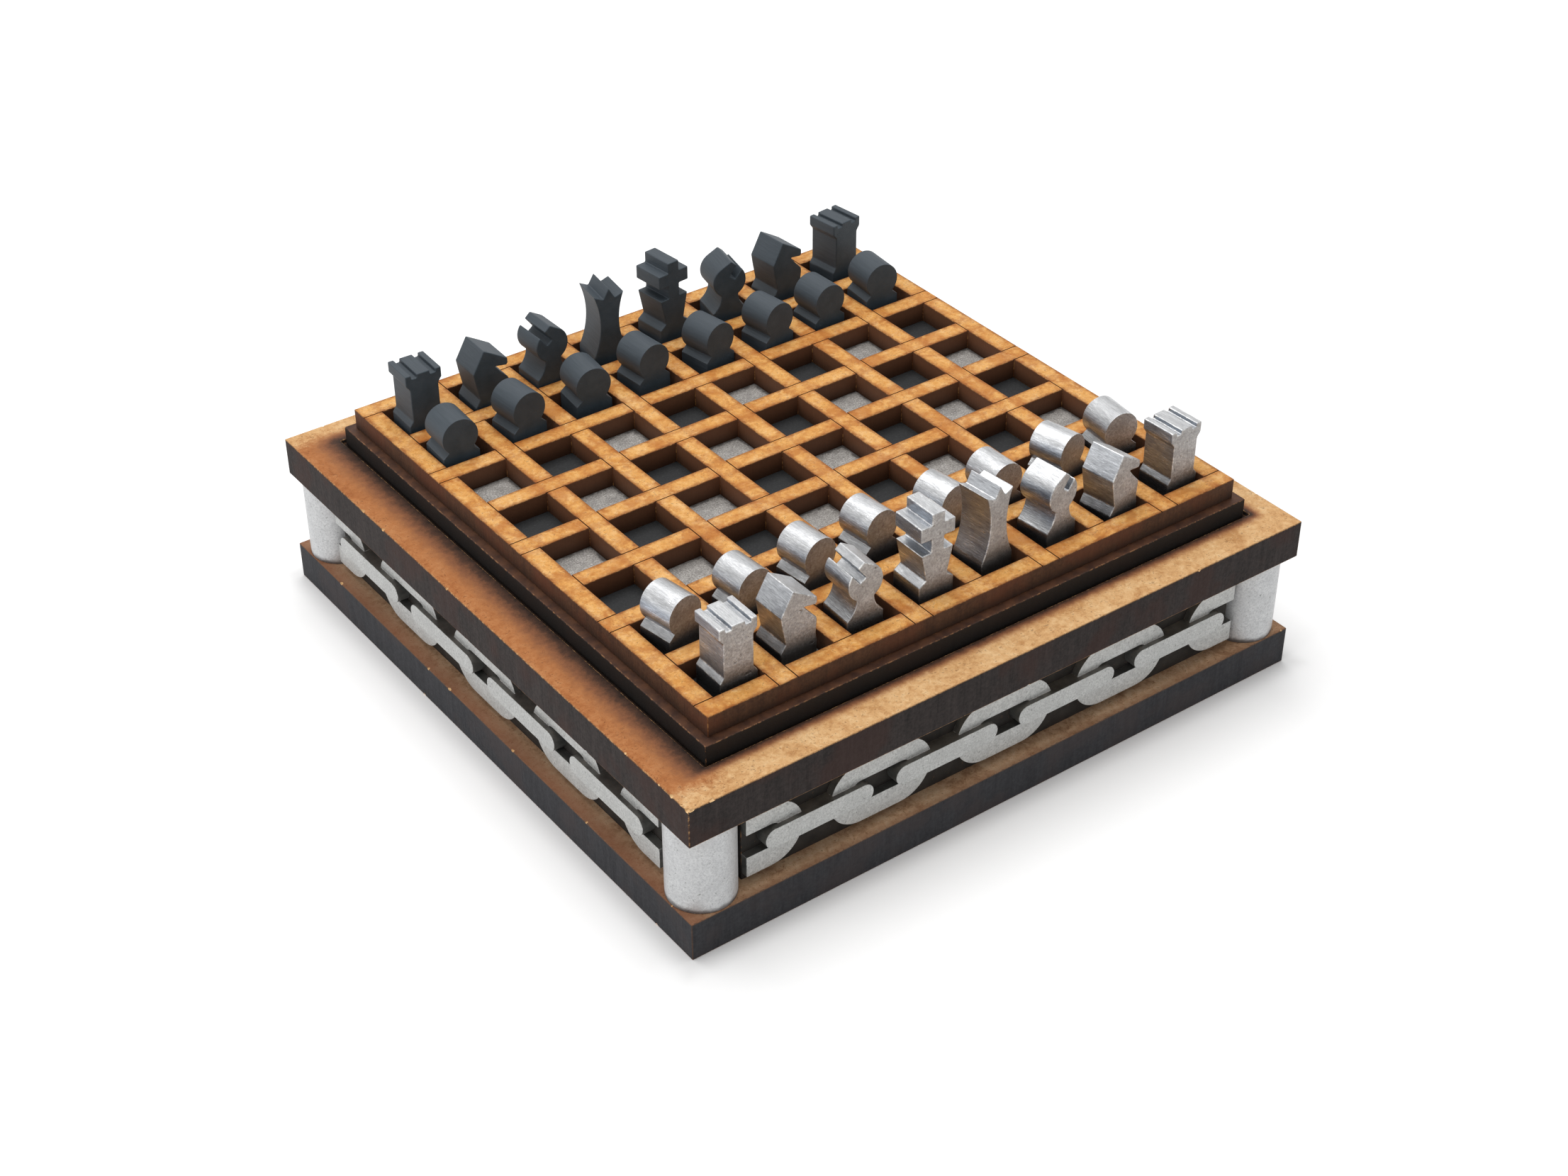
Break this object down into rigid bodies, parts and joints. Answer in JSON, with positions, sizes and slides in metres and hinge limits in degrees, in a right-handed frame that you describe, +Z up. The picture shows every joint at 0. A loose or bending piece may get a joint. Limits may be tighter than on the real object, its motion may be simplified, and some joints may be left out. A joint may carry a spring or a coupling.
{
  "type": "chess box with drawers",
  "caption": "Small square chess box: two plates on four round columns, chain-patterned sides with a drawer front and back, a raised lattice board, and flat-cut pieces standing in its cells.",
  "frame": {"origin": "middle of the base plate's underside", "axes": "+Z up, +Y from the silver side of the board to the black side, +X to the right as seen from the silver side"},
  "size_m": [0.106, 0.106, 0.0431],
  "materials": {
    "plate_wood": "bare laser-cut plywood with scorched edges",
    "lattice_wood": "bare laser-cut sheet with scorched edges",
    "inner_wood": "bare plywood",
    "charred_panel": "dark scorched sheet",
    "black_floor": "matte black paint",
    "silver_paint": "satin silver paint",
    "silver_square": "speckled silver paint",
    "silver_piece": "metallic silver paint",
    "black_piece": "matte black paint"
  },
  "bodies": {
    "box": {"base_plate": "plate_wood", "column_front_left": "silver_paint", "column_front_right": "silver_paint", "column_back_left": "silver_paint", "column_back_right": "silver_paint", "left_panel": "charred_panel", "right_panel": "charred_panel", "left_chain": "silver_paint", "right_chain": "silver_paint", "left_guide": "inner_wood", "right_guide": "inner_wood", "centre_divider": "inner_wood", "top_plate": "plate_wood", "board_floor": "black_floor", "silver_squares": "silver_square", "board_lattice": "lattice_wood"},
    "front_drawer": {"front_drawer_face": "charred_panel", "front_drawer_chain": "silver_paint", "front_drawer_floor": "inner_wood", "front_drawer_left_side": "inner_wood", "front_drawer_right_side": "inner_wood", "front_drawer_end": "inner_wood"},
    "back_drawer": {"back_drawer_face": "charred_panel", "back_drawer_chain": "silver_paint", "back_drawer_floor": "inner_wood", "back_drawer_left_side": "inner_wood", "back_drawer_right_side": "inner_wood", "back_drawer_end": "inner_wood"},
    "silver_rook_a": {"silver_rook_a": "silver_piece"},
    "silver_knight_b": {"silver_knight_b": "silver_piece"},
    "silver_bishop_c": {"silver_bishop_c": "silver_piece"},
    "silver_king_d": {"silver_king_d": "silver_piece"},
    "silver_queen_e": {"silver_queen_e": "silver_piece"},
    "silver_bishop_f": {"silver_bishop_f": "silver_piece"},
    "silver_knight_g": {"silver_knight_g": "silver_piece"},
    "silver_rook_h": {"silver_rook_h": "silver_piece"},
    "silver_pawn_a": {"silver_pawn_a": "silver_piece"},
    "silver_pawn_b": {"silver_pawn_b": "silver_piece"},
    "silver_pawn_c": {"silver_pawn_c": "silver_piece"},
    "silver_pawn_d": {"silver_pawn_d": "silver_piece"},
    "silver_pawn_e": {"silver_pawn_e": "silver_piece"},
    "silver_pawn_f": {"silver_pawn_f": "silver_piece"},
    "silver_pawn_g": {"silver_pawn_g": "silver_piece"},
    "silver_pawn_h": {"silver_pawn_h": "silver_piece"},
    "black_pawn_a": {"black_pawn_a": "black_piece"},
    "black_pawn_b": {"black_pawn_b": "black_piece"},
    "black_pawn_c": {"black_pawn_c": "black_piece"},
    "black_pawn_d": {"black_pawn_d": "black_piece"},
    "black_pawn_e": {"black_pawn_e": "black_piece"},
    "black_pawn_f": {"black_pawn_f": "black_piece"},
    "black_pawn_g": {"black_pawn_g": "black_piece"},
    "black_pawn_h": {"black_pawn_h": "black_piece"},
    "black_rook_a": {"black_rook_a": "black_piece"},
    "black_knight_b": {"black_knight_b": "black_piece"},
    "black_bishop_c": {"black_bishop_c": "black_piece"},
    "black_queen_d": {"black_queen_d": "black_piece"},
    "black_king_e": {"black_king_e": "black_piece"},
    "black_bishop_f": {"black_bishop_f": "black_piece"},
    "black_knight_g": {"black_knight_g": "black_piece"},
    "black_rook_h": {"black_rook_h": "black_piece"}
  },
  "joints": [
    {"name": "front_drawer_slide", "type": "slide", "parent": "box", "child": "front_drawer", "axis": [0, -1, 0], "range_m": [0, 0.04]},
    {"name": "back_drawer_slide", "type": "slide", "parent": "box", "child": "back_drawer", "axis": [0, 1, 0], "range_m": [0, 0.04]},
    {"name": "silver_rook_a_lift", "type": "slide", "parent": "box", "child": "silver_rook_a", "axis": [0, 0, 1], "range_m": [0, 0.025]},
    {"name": "silver_knight_b_lift", "type": "slide", "parent": "box", "child": "silver_knight_b", "axis": [0, 0, 1], "range_m": [0, 0.025]},
    {"name": "silver_bishop_c_lift", "type": "slide", "parent": "box", "child": "silver_bishop_c", "axis": [0, 0, 1], "range_m": [0, 0.025]},
    {"name": "silver_king_d_lift", "type": "slide", "parent": "box", "child": "silver_king_d", "axis": [0, 0, 1], "range_m": [0, 0.025]},
    {"name": "silver_queen_e_lift", "type": "slide", "parent": "box", "child": "silver_queen_e", "axis": [0, 0, 1], "range_m": [0, 0.025]},
    {"name": "silver_bishop_f_lift", "type": "slide", "parent": "box", "child": "silver_bishop_f", "axis": [0, 0, 1], "range_m": [0, 0.025]},
    {"name": "silver_knight_g_lift", "type": "slide", "parent": "box", "child": "silver_knight_g", "axis": [0, 0, 1], "range_m": [0, 0.025]},
    {"name": "silver_rook_h_lift", "type": "slide", "parent": "box", "child": "silver_rook_h", "axis": [0, 0, 1], "range_m": [0, 0.025]},
    {"name": "silver_pawn_a_lift", "type": "slide", "parent": "box", "child": "silver_pawn_a", "axis": [0, 0, 1], "range_m": [0, 0.025]},
    {"name": "silver_pawn_b_lift", "type": "slide", "parent": "box", "child": "silver_pawn_b", "axis": [0, 0, 1], "range_m": [0, 0.025]},
    {"name": "silver_pawn_c_lift", "type": "slide", "parent": "box", "child": "silver_pawn_c", "axis": [0, 0, 1], "range_m": [0, 0.025]},
    {"name": "silver_pawn_d_lift", "type": "slide", "parent": "box", "child": "silver_pawn_d", "axis": [0, 0, 1], "range_m": [0, 0.025]},
    {"name": "silver_pawn_e_lift", "type": "slide", "parent": "box", "child": "silver_pawn_e", "axis": [0, 0, 1], "range_m": [0, 0.025]},
    {"name": "silver_pawn_f_lift", "type": "slide", "parent": "box", "child": "silver_pawn_f", "axis": [0, 0, 1], "range_m": [0, 0.025]},
    {"name": "silver_pawn_g_lift", "type": "slide", "parent": "box", "child": "silver_pawn_g", "axis": [0, 0, 1], "range_m": [0, 0.025]},
    {"name": "silver_pawn_h_lift", "type": "slide", "parent": "box", "child": "silver_pawn_h", "axis": [0, 0, 1], "range_m": [0, 0.025]},
    {"name": "black_pawn_a_lift", "type": "slide", "parent": "box", "child": "black_pawn_a", "axis": [0, 0, 1], "range_m": [0, 0.025]},
    {"name": "black_pawn_b_lift", "type": "slide", "parent": "box", "child": "black_pawn_b", "axis": [0, 0, 1], "range_m": [0, 0.025]},
    {"name": "black_pawn_c_lift", "type": "slide", "parent": "box", "child": "black_pawn_c", "axis": [0, 0, 1], "range_m": [0, 0.025]},
    {"name": "black_pawn_d_lift", "type": "slide", "parent": "box", "child": "black_pawn_d", "axis": [0, 0, 1], "range_m": [0, 0.025]},
    {"name": "black_pawn_e_lift", "type": "slide", "parent": "box", "child": "black_pawn_e", "axis": [0, 0, 1], "range_m": [0, 0.025]},
    {"name": "black_pawn_f_lift", "type": "slide", "parent": "box", "child": "black_pawn_f", "axis": [0, 0, 1], "range_m": [0, 0.025]},
    {"name": "black_pawn_g_lift", "type": "slide", "parent": "box", "child": "black_pawn_g", "axis": [0, 0, 1], "range_m": [0, 0.025]},
    {"name": "black_pawn_h_lift", "type": "slide", "parent": "box", "child": "black_pawn_h", "axis": [0, 0, 1], "range_m": [0, 0.025]},
    {"name": "black_rook_a_lift", "type": "slide", "parent": "box", "child": "black_rook_a", "axis": [0, 0, 1], "range_m": [0, 0.025]},
    {"name": "black_knight_b_lift", "type": "slide", "parent": "box", "child": "black_knight_b", "axis": [0, 0, 1], "range_m": [0, 0.025]},
    {"name": "black_bishop_c_lift", "type": "slide", "parent": "box", "child": "black_bishop_c", "axis": [0, 0, 1], "range_m": [0, 0.025]},
    {"name": "black_queen_d_lift", "type": "slide", "parent": "box", "child": "black_queen_d", "axis": [0, 0, 1], "range_m": [0, 0.025]},
    {"name": "black_king_e_lift", "type": "slide", "parent": "box", "child": "black_king_e", "axis": [0, 0, 1], "range_m": [0, 0.025]},
    {"name": "black_bishop_f_lift", "type": "slide", "parent": "box", "child": "black_bishop_f", "axis": [0, 0, 1], "range_m": [0, 0.025]},
    {"name": "black_knight_g_lift", "type": "slide", "parent": "box", "child": "black_knight_g", "axis": [0, 0, 1], "range_m": [0, 0.025]},
    {"name": "black_rook_h_lift", "type": "slide", "parent": "box", "child": "black_rook_h", "axis": [0, 0, 1], "range_m": [0, 0.025]}
  ]
}
